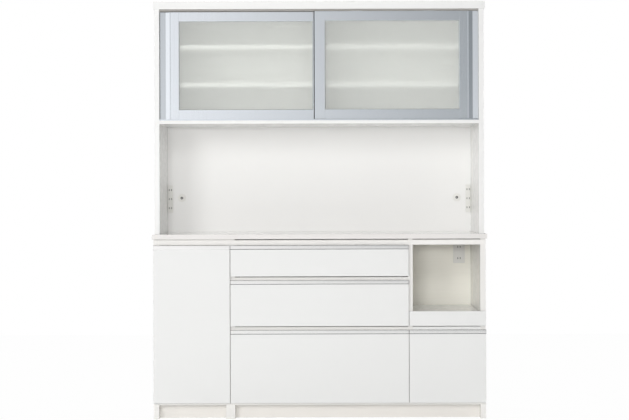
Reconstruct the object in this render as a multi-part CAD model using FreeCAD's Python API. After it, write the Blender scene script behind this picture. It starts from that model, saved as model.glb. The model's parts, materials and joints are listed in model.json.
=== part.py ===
import FreeCAD, Part
import math
import os

# A free-standing kitchen cupboard in two stacked units, in millimetres.
# X runs to the viewer's right, the front faces -Y and Z is up.
# The origin is on the floor, under the middle of the overall box.

# Overall sizes
counter_width = 1600.0
counter_depth = 500.0
counter_thickness = 23.0
counter_height = 884.0
total_height = 2005.0
carcass_inset = 5.0
edge_radius = 1.0

# Base carcasses: a narrow one on the left, a wide one on the right
base_side_thickness = 26.0
inner_side_thickness = 22.0
divider_thickness = 22.0
left_column_width = 368.0
right_column_width = 368.0
bottom_thickness = 18.0
back_thickness = 6.0
back_inset = 4.0
plinth_height = 66.0
plinth_recess = 45.0
plinth_thickness = 16.0
top_rail_height = 29.0
rail_thickness = 18.0
cross_rail_height = 40.0
rail_reveal = 4.5
stretcher_depth = 130.0

# Fronts of the base and their pull profiles
front_thickness = 18.0
front_setback = 4.0
front_gap = 3.0
column_gap = 3.0
outer_reveal = 1.0
front_drop = 6.0
finger_gap = 17.5
top_drawer_height = 149.5
middle_drawer_height = 220.5
lip_height = 18.0
lip_thickness = 3.2
lip_curl_depth = 3.0
lip_curl_height = 3.0
lip_round = 2.6
lip_groove_depth = 2.0
web_thickness = 2.5
tongue_thickness = 2.0
tongue_depth = 6.0
tongue_inset = 8.0
tongue_clearance = 0.1

# Drawer boxes
box_wall = 12.0
box_bottom_thickness = 6.0
box_bottom_rise = 10.0
box_length = 430.0
box_bottom_clearance = 4.0
box_front_rise = 12.5
top_box_height = 90.0
middle_box_height = 150.0
deep_box_height = 250.0

# Telescopic runners, three nested channels each
runner_thickness = 12.7
runner_height = 45.0
tray_runner_height = 30.0
runner_wall = 1.2
runner_clearance = 0.3
runner_flange_setback = 1.5
runner_web_gap = 0.5
runner_inner_start = 4.0
runner_length = 420.0
runner_front_setback = 3.0
runner_rise = 40.0

# Appliance slot with its pull-out tray
slot_floor_thickness = 18.0
tray_front_height = 70.5
tray_side_clearance = 2.0
tray_board_thickness = 18.0
tray_board_drop = 4.0
tray_board_back_gap = 30.0
tray_apron_thickness = 12.0
tray_apron_height = 35.0

# Tall hinged door on the left, on two corner pivots
pivot_inset = 4.6
pivot_radius = 2.0
pivot_running_clearance = 0.06
pivot_length = 13.0
pivot_hole_spare = 0.6
bracket_thickness = 2.0
bracket_flange_thickness = 1.5
bracket_flange_height = 40.0
bracket_width = 18.0
bracket_gap = 0.5
bracket_left_reach = 4.0
bracket_front_reach = 3.6

# Upper unit
upper_depth = 412.0
upper_side_thickness = 24.0
top_panel_thickness = 36.0
top_panel_overhang = 4.0
niche_height = 532.0
upper_floor_thickness = 16.0
partition_thickness = 18.0
partition_setback = 8.0

# Sliding glass doors and their tracks
door_setback = 4.0
door_thickness = 20.0
door_spacing = 4.0
door_end_clearance = 1.0
door_overlap = 50.0
door_bottom_gap = 1.0
door_top_gap = 10.0
outer_stile_face = 46.0
meeting_stile_width = 54.0
door_rail_height = 45.0
pull_flange_width = 27.0
pull_bevel_width = 18.0
pull_flange_thickness = 15.0
pull_flange_hollow = 1.4
bead_width = 5.0
bead_groove_width = 3.0
bead_groove_depth = 4.0
pane_thickness = 4.0
pane_inset = 8.0
pane_clearance = 0.2
track_base = 2.0
track_rib_width = 2.0
track_rib_height = 3.0
track_lip_height = 4.0
track_lip_thickness = 2.0
track_back_margin = 6.0
guide_thickness = 6.0
guide_length = 60.0
guide_end_inset = 120.0
guide_clearance = 0.6
guide_top_gap = 2.0
top_rib_width = 1.5
top_rib_gap = 2.0

# Door rollers
roller_rim_radius = 9.0
roller_tread_radius = 8.0
roller_width = 8.0
roller_groove_width = 2.6
roller_bore_radius = 2.06
axle_radius = 2.0
axle_seat_depth = 3.0
roller_lift = 0.3
roller_end_inset = 150.0
roller_pocket_clearance = 1.0

# Loose shelves and the clips that carry them
shelf_thickness = 18.0
shelf_side_clearance = 2.0
shelf_front_setback = 12.0
shelf_back_gap = 4.0
upper_shelf_count = 2
cupboard_shelf_count = 2
clip_depth = 12.0
clip_reach = 10.0
clip_thickness = 3.0
clip_rise = 16.0
clip_end_inset = 40.0

# Mains outlets and cord glands
outlet_width = 25.0
outlet_height = 140.0
outlet_thickness = 9.0
outlet_corner_gap = 1.0
outlet_rise = 97.0
outlet_corner_radius = 3.0
socket_pitch = 46.0
socket_count = 3
blade_slot_width = 3.0
blade_slot_height = 9.0
blade_slot_spacing = 12.0
blade_slot_depth = 6.0
gland_radius = 20.0
gland_thickness = 4.0
gland_bore_radius = 7.0
gland_corner_offset = 71.0
gland_rise = 172.0
slot_outlet_width = 58.0
slot_outlet_height = 108.0
slot_outlet_side_gap = 30.0
slot_outlet_top_gap = 3.0
slot_socket_pitch = 58.0
slot_socket_count = 2

# Places worked out from the sizes above
half_width = counter_width / 2
back_y = counter_depth / 2
front_y = -counter_depth / 2
carcass_half = half_width - carcass_inset
front_face_y = front_y + front_setback
front_back_y = front_face_y + front_thickness
carcass_front_y = front_back_y + front_gap
panel_back_y = back_y - back_inset
inside_back_y = panel_back_y - back_thickness
base_top = counter_height - counter_thickness
bottom_top = plinth_height + bottom_thickness
left_seam = -carcass_half + left_column_width
right_seam = carcass_half - right_column_width
cupboard_left = -carcass_half + base_side_thickness
cupboard_right = left_seam - inner_side_thickness
centre_left = left_seam + inner_side_thickness
divider_left = right_seam - column_gap
slot_left = divider_left + divider_thickness
slot_right = carcass_half - base_side_thickness

fronts_bottom = bottom_top - front_drop
top_front_top = base_top - top_rail_height
top_front_bottom = top_front_top - top_drawer_height
middle_front_top = top_front_bottom - finger_gap
middle_front_bottom = middle_front_top - middle_drawer_height
deep_front_top = middle_front_bottom - finger_gap
upper_cross_rail_top = top_front_bottom - rail_reveal
lower_cross_rail_top = middle_front_bottom - rail_reveal

slot_floor_top = lower_cross_rail_top
slot_floor_bottom = slot_floor_top - slot_floor_thickness
tray_front_bottom = middle_front_bottom
tray_front_top = tray_front_bottom + tray_front_height
tray_board_top = tray_front_top - tray_board_drop
tray_board_bottom = tray_board_top - tray_board_thickness

upper_front_y = back_y - upper_depth
upper_inner_half = carcass_half - upper_side_thickness
top_panel_bottom = total_height - top_panel_thickness
niche_top = counter_height + niche_height
upper_floor_top = niche_top + upper_floor_thickness
track_top = upper_floor_top + track_base
door_bottom = track_top + track_lip_height + door_bottom_gap
door_top = top_panel_bottom - door_top_gap
front_door_y = upper_front_y + door_setback
rear_door_y = front_door_y + door_thickness + door_spacing
doors_back_y = rear_door_y + door_thickness
door_width = (2 * (upper_inner_half - door_end_clearance) + door_overlap) / 2
upper_inside_front = doors_back_y + partition_setback

pivot_x = -carcass_half + outer_reveal + pivot_inset
pivot_y = front_face_y + front_thickness / 2


def box(x0, x1, y0, y1, z0, z1):
    """A plain block between two corners."""
    return Part.makeBox(x1 - x0, y1 - y0, z1 - z0, FreeCAD.Vector(x0, y0, z0))


def board(x0, x1, y0, y1, z0, z1):
    """A block with its edges eased, as a coated board has."""
    block = box(x0, x1, y0, y1, z0, z1)
    return block.makeFillet(edge_radius, block.Edges)


def prism(points, direction):
    """A solid from a closed outline of straight sides, pushed along a vector."""
    corners = [FreeCAD.Vector(*point) for point in points]
    outline = Part.makePolygon(corners + corners[:1])
    return Part.Face(outline).extrude(FreeCAD.Vector(*direction))


def rod(radius, length, start, direction):
    """A round bar from a start point along a direction."""
    return Part.makeCylinder(radius, length, FreeCAD.Vector(*start), FreeCAD.Vector(*direction))


def save(node, *solids):
    """Write one node, alone or as a group of separate solids."""
    shape = solids[0] if len(solids) == 1 else Part.makeCompound(list(solids))
    shape.exportStep("parts/" + node + ".step")


# Pull profile and fronts
def pull_profile(x0, x1, top):
    """A J-shaped pull: a web on the front's top edge, an upright lip and a tongue below."""
    web_top = top - lip_height
    web_bottom = web_top - web_thickness
    lip_back = front_face_y + lip_thickness
    curl_back = lip_back + lip_curl_depth
    groove_back = front_face_y + lip_groove_depth
    tongue_front = front_face_y + tongue_inset
    tongue_back = tongue_front + tongue_thickness
    tongue_bottom = web_bottom - tongue_depth
    outline = [
        (x0, groove_back, web_bottom),
        (x0, tongue_front, web_bottom),
        (x0, tongue_front, tongue_bottom),
        (x0, tongue_back, tongue_bottom),
        (x0, tongue_back, web_bottom),
        (x0, front_back_y, web_bottom),
        (x0, front_back_y, web_top),
        (x0, lip_back, web_top),
        (x0, lip_back, top - lip_curl_height),
        (x0, curl_back, top - lip_curl_height),
        (x0, curl_back, top),
        (x0, front_face_y, top),
        (x0, front_face_y, web_top),
        (x0, groove_back, web_top),
    ]
    profile = prism(outline, (x1 - x0, 0, 0))
    crest = [edge for edge in profile.Edges if edge.BoundBox.ZMin > top - lip_round
             and edge.BoundBox.YMax < lip_back and edge.BoundBox.XLength > lip_round]
    return profile.makeFillet(lip_round, crest)


def front_panel(x0, x1, bottom, top):
    """The coated board of a front, with a groove along its top for the pull's tongue."""
    panel_top = top - lip_height - web_thickness
    panel = board(x0, x1, front_face_y, front_back_y, bottom, panel_top)
    groove_front = front_face_y + tongue_inset - tongue_clearance
    groove_back = groove_front + tongue_thickness + 2 * tongue_clearance
    groove_bottom = panel_top - tongue_depth - tongue_clearance
    return panel.cut(box(x0, x1, groove_front, groove_back, groove_bottom, panel_top))


# Telescopic runners
def channel(wall_x, side, web_start, flange_end, half_height, middle_z, y0, y1):
    """A C-shaped channel along Y; side is the way, in X, from the wall to the drawer."""
    web_end = web_start + math.copysign(runner_wall, flange_end - web_start)
    inner_half = half_height - runner_wall
    outline = [
        (web_start, -half_height),
        (flange_end, -half_height),
        (flange_end, -inner_half),
        (web_end, -inner_half),
        (web_end, inner_half),
        (flange_end, inner_half),
        (flange_end, half_height),
        (web_start, half_height),
    ]
    points = [(wall_x + side * x, y0, middle_z + z) for x, z in outline]
    return prism(points, (0, y1 - y0, 0))


def runner(wall_x, side, height, middle_z, y0, y1):
    """The three nested channels of one runner: fixed, middle and inner."""
    flange_end = runner_thickness - runner_flange_setback
    outer_half = height / 2
    middle_half = outer_half - runner_wall - runner_clearance
    inner_half = middle_half - runner_wall - runner_clearance
    middle_start = runner_wall + runner_web_gap
    fixed = channel(wall_x, side, 0, flange_end, outer_half, middle_z, y0, y1)
    middle = channel(wall_x, side, middle_start, flange_end, middle_half, middle_z, y0, y1)
    inner = channel(wall_x, side, runner_thickness, runner_inner_start, inner_half, middle_z, y0, y1)
    return fixed, middle, inner


fixed_runners = []


def runner_pair(name, left_wall, right_wall, height, middle_z, front):
    """Both runners of one pull-out, with its middle and inner channels in nodes of their own."""
    back = front + runner_length
    left = runner(left_wall, 1, height, middle_z, front, back)
    right = runner(right_wall, -1, height, middle_z, front, back)
    fixed_runners.extend([left[0], right[0]])
    save(name + "_middle_runners", left[1], right[1])
    save(name + "_inner_runners", left[2], right[2])


# Drawers
def drawer(name, front_x, opening_x, bottom, top, box_bottom, box_height):
    """A front with its pull, a box behind it and a pair of runners."""
    save(name + "_front", front_panel(front_x[0], front_x[1], bottom, top))
    save(name + "_pull", pull_profile(front_x[0], front_x[1], top))
    left = opening_x[0] + runner_thickness
    right = opening_x[1] - runner_thickness
    box_back = front_back_y + box_length
    box_top = box_bottom + box_height
    floor_bottom = box_bottom + box_bottom_rise
    floor_top = floor_bottom + box_bottom_thickness
    save(
        name + "_box",
        box(left, left + box_wall, front_back_y, box_back, box_bottom, box_top),
        box(right - box_wall, right, front_back_y, box_back, box_bottom, box_top),
        box(left + box_wall, right - box_wall, box_back - box_wall, box_back, floor_top, box_top),
        box(left + box_wall, right - box_wall, front_back_y, front_back_y + box_wall, floor_top, box_top),
        box(left + box_wall, right - box_wall, front_back_y, box_back, floor_bottom, floor_top),
    )
    runner_front = carcass_front_y + runner_front_setback
    middle_z = box_bottom + runner_rise
    runner_pair(name, opening_x[0], opening_x[1], runner_height, middle_z, runner_front)


os.makedirs("parts", exist_ok=True)

# Counter and top
save("counter_top", board(-half_width, half_width, front_y, back_y, base_top, counter_height))
top_panel_front = upper_front_y - top_panel_overhang
save("top_panel", board(-half_width, half_width, top_panel_front, back_y, top_panel_bottom, total_height))

# Base carcasses
save("base_side_left", board(-carcass_half, cupboard_left, carcass_front_y, back_y, 0, base_top))
save("base_side_right", board(slot_right, carcass_half, carcass_front_y, back_y, 0, base_top))
save("cupboard_inner_side", board(cupboard_right, left_seam, carcass_front_y, back_y, 0, base_top))
save("drawer_inner_side", board(left_seam, centre_left, carcass_front_y, back_y, 0, base_top))
save("slot_divider", box(divider_left, slot_left, carcass_front_y, inside_back_y, bottom_top, base_top))
carcass_insides = [(cupboard_left, cupboard_right), (centre_left, slot_right)]
bottoms = []
backs = []
plinths = []
rails = []
plinth_front = carcass_front_y + plinth_recess
rail_back = carcass_front_y + rail_thickness
for inside_left, inside_right in carcass_insides:
    bottoms.append(box(inside_left, inside_right, carcass_front_y, inside_back_y, plinth_height, bottom_top))
    backs.append(box(inside_left, inside_right, inside_back_y, panel_back_y, plinth_height, base_top))
    for plinth_y in (plinth_front, inside_back_y - plinth_thickness):
        plinth_back = plinth_y + plinth_thickness
        plinths.append(box(inside_left, inside_right, plinth_y, plinth_back, 0, plinth_height))
rail_top_below_counter = base_top - rail_reveal
bays = [
    (cupboard_left, cupboard_right, base_top),
    (centre_left, divider_left, rail_top_below_counter),
    (slot_left, slot_right, rail_top_below_counter),
]
for bay_left, bay_right, rail_top in bays:
    rails.append(box(bay_left, bay_right, carcass_front_y, rail_back, top_front_top, rail_top))
    rear_rail = inside_back_y - rail_thickness
    rails.append(box(bay_left, bay_right, rear_rail, inside_back_y, top_front_top, base_top))
for rail_top in (upper_cross_rail_top, lower_cross_rail_top):
    rail_bottom = rail_top - cross_rail_height
    rails.append(box(centre_left, divider_left, carcass_front_y, rail_back, rail_bottom, rail_top))
rails.append(box(slot_left, slot_right, carcass_front_y, rail_back,
                 lower_cross_rail_top - cross_rail_height, slot_floor_bottom))
rails.append(box(slot_left, slot_right, rail_back, rail_back + stretcher_depth,
                 rail_top_below_counter - rail_thickness, rail_top_below_counter))
save("base_bottoms", *bottoms)
save("plinth_boards", *plinths)
save("carcass_rails", *rails)
slot_floor = box(slot_left, slot_right, carcass_front_y, inside_back_y, slot_floor_bottom, slot_floor_top)
save("slot_floor", slot_floor)

# Drawers of the base
centre_front = (left_seam + column_gap / 2, right_seam - column_gap / 2)
right_front = (right_seam + column_gap / 2, carcass_half - outer_reveal)
centre_opening = (centre_left, divider_left)
slot_opening = (slot_left, slot_right)
top_box_bottom = top_front_bottom + box_front_rise
middle_box_bottom = middle_front_bottom + box_front_rise
deep_box_bottom = bottom_top + box_bottom_clearance
drawer("top_drawer", centre_front, centre_opening,
       top_front_bottom, top_front_top, top_box_bottom, top_box_height)
drawer("middle_drawer", centre_front, centre_opening,
       middle_front_bottom, middle_front_top, middle_box_bottom, middle_box_height)
drawer("deep_drawer", centre_front, centre_opening,
       fronts_bottom, deep_front_top, deep_box_bottom, deep_box_height)
drawer("right_drawer", right_front, slot_opening,
       fronts_bottom, deep_front_top, deep_box_bottom, deep_box_height)

# Pull-out tray in the slot
tray_left = slot_left + tray_side_clearance
tray_right = slot_right - tray_side_clearance
tray_back = inside_back_y - tray_board_back_gap
save("tray_front", board(right_front[0], right_front[1], front_face_y, front_back_y,
                         tray_front_bottom, tray_front_top))
apron_left = slot_left + runner_thickness
apron_right = slot_right - runner_thickness
apron_bottom = tray_board_bottom - tray_apron_height
save(
    "tray_board",
    box(tray_left, tray_right, front_back_y, tray_back, tray_board_bottom, tray_board_top),
    box(apron_left, apron_left + tray_apron_thickness, front_back_y, tray_back,
        apron_bottom, tray_board_bottom),
    box(apron_right - tray_apron_thickness, apron_right, front_back_y, tray_back,
        apron_bottom, tray_board_bottom),
)
tray_runner_z = apron_bottom + tray_apron_height / 2
runner_pair("tray", slot_left, slot_right, tray_runner_height, tray_runner_z,
            carcass_front_y + runner_front_setback)
save("fixed_runners", *fixed_runners)


# Tall door and its corner pivots
door_front = (-carcass_half + outer_reveal, left_seam - column_gap / 2)
web_top = top_front_top - lip_height
pivot_hole = pivot_radius + pivot_running_clearance
hole_depth = pivot_length + pivot_hole_spare
upper_hole = rod(pivot_hole, hole_depth, (pivot_x, pivot_y, web_top), (0, 0, -1))
lower_hole = rod(pivot_hole, hole_depth, (pivot_x, pivot_y, fronts_bottom), (0, 0, 1))
tall_panel = front_panel(door_front[0], door_front[1], fronts_bottom, top_front_top)
save("tall_door_panel", tall_panel.cut(upper_hole).cut(lower_hole))
save("tall_door_pull", pull_profile(door_front[0], door_front[1], top_front_top).cut(upper_hole))


def pivot_bracket(leaf_start, up):
    """An angle on the carcass's front edge; its leaf carries the pin. up is where the pin points."""
    leaf_end = leaf_start - up * bracket_thickness
    leaf_low = min(leaf_start, leaf_end)
    leaf_high = max(leaf_start, leaf_end)
    left = pivot_x - bracket_left_reach
    right = left + bracket_width
    flange_front = carcass_front_y - bracket_flange_thickness
    flange_end = leaf_end + up * bracket_flange_height
    leaf = box(left, right, pivot_y - bracket_front_reach, carcass_front_y, leaf_low, leaf_high)
    flange = box(left, right, flange_front, carcass_front_y,
                 min(leaf_end, flange_end), max(leaf_end, flange_end))
    pin = rod(pivot_radius, bracket_thickness + pivot_length, (pivot_x, pivot_y, leaf_end), (0, 0, up))
    return leaf.fuse(flange).fuse(pin).removeSplitter()


save("pivot_brackets",
     pivot_bracket(web_top + bracket_gap, -1),
     pivot_bracket(fronts_bottom - bracket_gap, 1))

# Upper unit
save("upper_side_left", board(-carcass_half, -upper_inner_half, upper_front_y, back_y,
                              counter_height, top_panel_bottom))
save("upper_side_right", board(upper_inner_half, carcass_half, upper_front_y, back_y,
                               counter_height, top_panel_bottom))
save("upper_floor", box(-upper_inner_half, upper_inner_half, upper_front_y, inside_back_y,
                        niche_top, upper_floor_top))
save("upper_partition", box(-partition_thickness / 2, partition_thickness / 2, upper_inside_front,
                            inside_back_y, upper_floor_top, top_panel_bottom))

# Cord glands and mains outlets on the backs
gland_z = counter_height + gland_rise
gland_xs = [side * (upper_inner_half - gland_corner_offset) for side in (-1, 1)]
upper_back = box(-upper_inner_half, upper_inner_half, inside_back_y, panel_back_y,
                 counter_height, top_panel_bottom)
glands = []
for gland_x in gland_xs:
    bore_length = gland_thickness + back_thickness
    bore = rod(gland_bore_radius, bore_length, (gland_x, inside_back_y - gland_thickness, gland_z), (0, 1, 0))
    upper_back = upper_back.cut(bore)
    rim = rod(gland_radius, gland_thickness, (gland_x, inside_back_y, gland_z), (0, -1, 0)).cut(bore)
    glands.append(rim.makeFillet(edge_radius, [rim.Edges[0]]))
save("upper_back", upper_back)
save("cord_glands", *glands)


def outlet(x0, x1, bottom, height, sockets, pitch):
    """A mains outlet: a plate with a pair of blade slots in each of its sockets."""
    plate = box(x0, x1, inside_back_y - outlet_thickness, inside_back_y, bottom, bottom + height)
    corners = [edge for edge in plate.Edges if abs(edge.BoundBox.YLength - outlet_thickness) < edge_radius]
    plate = plate.makeFillet(outlet_corner_radius, corners)
    middle_x = (x0 + x1) / 2
    middle_z = bottom + height / 2
    face_y = inside_back_y - outlet_thickness
    for socket in range(sockets):
        slot_z = middle_z + (socket - (sockets - 1) / 2) * pitch
        for blade in (-1, 1):
            slot_x = middle_x + blade * blade_slot_spacing / 2
            plate = plate.cut(box(slot_x - blade_slot_width / 2, slot_x + blade_slot_width / 2,
                                  face_y, face_y + blade_slot_depth,
                                  slot_z - blade_slot_height / 2, slot_z + blade_slot_height / 2))
    return plate


outlet_outer = upper_inner_half - outlet_corner_gap
outlet_bottom = counter_height + outlet_rise
slot_outlet_right = slot_right - slot_outlet_side_gap
slot_outlet_bottom = top_front_top - slot_outlet_top_gap - slot_outlet_height
save("outlets",
     outlet(-outlet_outer, -outlet_outer + outlet_width, outlet_bottom, outlet_height,
            socket_count, socket_pitch),
     outlet(outlet_outer - outlet_width, outlet_outer, outlet_bottom, outlet_height,
            socket_count, socket_pitch),
     outlet(slot_outlet_right - slot_outlet_width, slot_outlet_right, slot_outlet_bottom,
            slot_outlet_height, slot_socket_count, slot_socket_pitch))
save("base_backs", *backs)

# Loose shelves on clips
shelves = []
clips = []


def shelf_heights(low, high, count):
    """Undersides of shelves that share a height in equal bays."""
    bay = (high - low - count * shelf_thickness) / (count + 1)
    return [low + bay + level * (bay + shelf_thickness) for level in range(count)]


def shelf(left, right, front, under):
    """One shelf between two walls, with a clip near each corner."""
    rear = inside_back_y - shelf_back_gap
    shelves.append(box(left + shelf_side_clearance, right - shelf_side_clearance, front, rear,
                       under, under + shelf_thickness))
    for wall, way in ((left, 1), (right, -1)):
        for clip_y in (front + clip_end_inset, rear - clip_end_inset - clip_depth):
            reach = sorted((wall, wall + way * clip_reach))
            plate = sorted((wall, wall + way * shelf_side_clearance / 2))
            tab = box(reach[0], reach[1], clip_y, clip_y + clip_depth, under - clip_thickness, under)
            back_plate = box(plate[0], plate[1], clip_y, clip_y + clip_depth, under - clip_rise, under)
            clips.append(tab.fuse(back_plate).removeSplitter())


upper_shelf_front = upper_inside_front + shelf_front_setback
cupboard_shelf_front = carcass_front_y + rail_thickness + shelf_front_setback
for under in shelf_heights(upper_floor_top, top_panel_bottom, upper_shelf_count):
    shelf(-upper_inner_half, -partition_thickness / 2, upper_shelf_front, under)
    shelf(partition_thickness / 2, upper_inner_half, upper_shelf_front, under)
for under in shelf_heights(bottom_top, top_front_top, cupboard_shelf_count):
    shelf(cupboard_left, cupboard_right, cupboard_shelf_front, under)
save("loose_shelves", *shelves)
save("shelf_clips", *clips)

# Door tracks
door_fronts = {"right": front_door_y, "left": rear_door_y}
track_back = doors_back_y + track_back_margin
bottom_track = box(-upper_inner_half, upper_inner_half, upper_front_y, track_back,
                   upper_floor_top, track_top)
track_lip = box(-upper_inner_half, upper_inner_half, upper_front_y,
                upper_front_y + track_lip_thickness, track_top, track_top + track_lip_height)
bottom_track = bottom_track.fuse(track_lip)
top_track_under = top_panel_bottom - track_base
top_track = box(-upper_inner_half, upper_inner_half, front_door_y, track_back,
                top_track_under, top_panel_bottom)
rib_bottom = door_top + top_rib_gap
rib_offset = guide_thickness / 2 + guide_clearance
for door_y in door_fronts.values():
    door_middle = door_y + door_thickness / 2
    bottom_rib = box(-upper_inner_half, upper_inner_half, door_middle - track_rib_width / 2,
                     door_middle + track_rib_width / 2, track_top, track_top + track_rib_height)
    bottom_track = bottom_track.fuse(bottom_rib)
    for rib_y in (door_middle - rib_offset - top_rib_width, door_middle + rib_offset):
        top_track = top_track.fuse(box(-upper_inner_half, upper_inner_half, rib_y,
                                       rib_y + top_rib_width, rib_bottom, top_track_under))
save("door_bottom_track", bottom_track.removeSplitter())
save("door_top_track", top_track.removeSplitter())


# Sliding glass doors
def glass_door(name, outer, way, door_y):
    """A framed pane; outer is the X of its outer edge and way points from there to the middle."""
    back = door_y + door_thickness
    flange_front = back - pull_flange_thickness
    flange_end = outer + way * pull_flange_width
    face_start = flange_end + way * pull_bevel_width
    face_end = face_start + way * outer_stile_face
    meeting_end = outer + way * door_width
    meeting_start = meeting_end - way * meeting_stile_width
    stile_height = door_top - door_bottom
    outline = [
        (outer, back, door_bottom),
        (outer, flange_front - pull_flange_hollow, door_bottom),
        (flange_end, flange_front, door_bottom),
        (face_start, door_y, door_bottom),
        (face_end, door_y, door_bottom),
        (face_end, back, door_bottom),
    ]
    outer_stile = prism(outline, (0, 0, stile_height))
    meeting = sorted((meeting_start, meeting_end))
    meeting_stile = box(meeting[0], meeting[1], door_y, back, door_bottom, door_top)
    bead_grooves = []
    for edge, inward in ((face_start, way), (meeting_end, -way)):
        groove_x = sorted((edge + inward * bead_width, edge + inward * (bead_width + bead_groove_width)))
        bead_grooves.append(box(groove_x[0], groove_x[1], door_y, door_y + bead_groove_depth,
                                door_bottom, door_top))
    outer_stile = outer_stile.cut(bead_grooves[0])
    meeting_stile = meeting_stile.cut(bead_grooves[1])
    span = sorted((face_end, meeting_start))
    top_rail = box(span[0], span[1], door_y, back, door_top - door_rail_height, door_top)
    bottom_rail = box(span[0], span[1], door_y, back, door_bottom, door_bottom + door_rail_height)

    pane_y = door_y + (door_thickness - pane_thickness) / 2
    pane_low = door_bottom + door_rail_height - pane_inset
    pane_high = door_top - door_rail_height + pane_inset
    pane = box(span[0] - pane_inset, span[1] + pane_inset, pane_y, pane_y + pane_thickness,
               pane_low, pane_high)
    spare = pane_clearance
    groove = box(span[0] - pane_inset - spare, span[1] + pane_inset + spare, pane_y - spare,
                 pane_y + pane_thickness + spare, pane_low - spare, pane_high + spare)
    frame = [solid.cut(groove) for solid in (outer_stile, meeting_stile, top_rail, bottom_rail)]

    middle_y = door_y + door_thickness / 2
    axle_z = track_top + track_rib_height + roller_lift + roller_tread_radius
    pocket_half = roller_rim_radius + roller_pocket_clearance
    pocket_side = roller_width / 2 + roller_pocket_clearance
    roller_xs = (span[0] + roller_end_inset, span[1] - roller_end_inset)
    for end, roller_x in zip(("outer", "inner") if way > 0 else ("inner", "outer"), roller_xs):
        pocket = box(roller_x - pocket_half, roller_x + pocket_half, middle_y - pocket_side,
                     middle_y + pocket_side, door_bottom, axle_z + pocket_half)
        axle_start = middle_y - pocket_side - axle_seat_depth
        axle = rod(axle_radius, back - axle_start, (roller_x, axle_start, axle_z), (0, 1, 0))
        frame[3] = frame[3].cut(pocket).cut(axle)
        frame.append(axle)
        start = (roller_x, middle_y - roller_width / 2, axle_z)
        wheel = rod(roller_rim_radius, roller_width, start, (0, 1, 0))
        groove_start = (roller_x, middle_y - roller_groove_width / 2, axle_z)
        tread_ring = rod(roller_rim_radius + roller_lift, roller_groove_width, groove_start, (0, 1, 0))
        tread_core = rod(roller_tread_radius, roller_groove_width, groove_start, (0, 1, 0))
        wheel = wheel.cut(tread_ring.cut(tread_core))
        save(name + "_" + end + "_roller", wheel.cut(rod(roller_bore_radius, roller_width, start, (0, 1, 0))))
    for guide_x in (span[0] + guide_end_inset, span[1] - guide_end_inset - guide_length):
        frame.append(box(guide_x, guide_x + guide_length, middle_y - guide_thickness / 2,
                         middle_y + guide_thickness / 2, door_top, top_track_under - guide_top_gap))
    save(name + "_frame", *frame)
    save(name + "_pane", pane)


door_outer = upper_inner_half - door_end_clearance
glass_door("left_glass_door", -door_outer, 1, door_fronts["left"])
glass_door("right_glass_door", door_outer, -1, door_fronts["right"])
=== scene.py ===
import json
import math

import bmesh
import bpy
from bpy.props import FloatProperty, FloatVectorProperty, IntProperty, PointerProperty
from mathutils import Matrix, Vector


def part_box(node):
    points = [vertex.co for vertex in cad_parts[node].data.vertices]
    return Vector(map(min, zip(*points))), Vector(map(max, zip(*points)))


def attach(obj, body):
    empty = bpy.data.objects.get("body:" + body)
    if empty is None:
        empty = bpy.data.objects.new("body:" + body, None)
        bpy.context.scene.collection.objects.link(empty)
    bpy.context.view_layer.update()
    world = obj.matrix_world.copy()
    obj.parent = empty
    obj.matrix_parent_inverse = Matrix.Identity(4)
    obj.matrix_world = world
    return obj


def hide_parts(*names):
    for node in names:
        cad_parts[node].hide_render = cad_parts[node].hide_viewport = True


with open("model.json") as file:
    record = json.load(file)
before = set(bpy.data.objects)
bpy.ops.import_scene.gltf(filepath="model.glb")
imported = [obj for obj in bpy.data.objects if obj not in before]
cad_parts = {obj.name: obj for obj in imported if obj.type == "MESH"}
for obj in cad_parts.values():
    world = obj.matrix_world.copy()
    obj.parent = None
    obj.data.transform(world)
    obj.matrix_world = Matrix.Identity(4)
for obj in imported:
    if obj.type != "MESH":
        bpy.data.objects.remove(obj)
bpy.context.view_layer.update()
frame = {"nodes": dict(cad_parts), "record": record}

bl_info = {
    "name": "Kitchen cupboard dressing",
    "version": (1, 0, 0),
    "blender": (4, 5, 0),
    "location": "View3D > Sidebar > Cupboard",
    "description": "Finishes, metalwork, glass and studio for a kitchen cupboard",
    "category": "Object",
}

NODES = frame["nodes"]
BODY_OF = {node: body for body, group in frame["record"]["behaviour"]["bodies"].items() for node in group}
DRAWERS = ("top_drawer", "middle_drawer", "deep_drawer", "right_drawer")
PULL_OUTS = DRAWERS + ("tray",)
GLASS_DOORS = ("left_glass_door", "right_glass_door")
BASE_SIDES = ("base_side_left", "base_side_right", "cupboard_inner_side", "drawer_inner_side")
UPPER_BOARDS = ("upper_side_left", "upper_side_right", "top_panel")
EASED_BOARDS = {
    "slot_divider": "base_board",
    "base_bottoms": "base_board",
    "plinth_boards": "plinth_board",
    "carcass_rails": "base_board",
    "slot_floor": "satin_board",
    "upper_floor": "satin_board",
    "upper_partition": "satin_board",
    "upper_back": "back_board",
    "loose_shelves": "back_board",
    "tray_board": "satin_board",
}
LEFT = (-1, 0, 0)
RIGHT = (1, 0, 0)
FORWARD = (0, -1, 0)
BACKWARD = (0, 1, 0)


# Settings
def tint(name, description, default):
    """A colour that a user may change."""
    return FloatVectorProperty(name=name, description=description, default=default,
                               subtype="COLOR", size=3, min=0.0, max=1.0)


def number(name, description, default, **options):
    """A number that a user may change."""
    return FloatProperty(name=name, description=description, default=default, **options)


def metres(name, description, default):
    """A length that a user may change."""
    return number(name, description, default, unit="LENGTH", subtype="DISTANCE", min=0.0, precision=5)


def watts(name, description, default):
    """A lamp's power that a user may change."""
    return number(name, description, default, unit="POWER", subtype="POWER")


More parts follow.
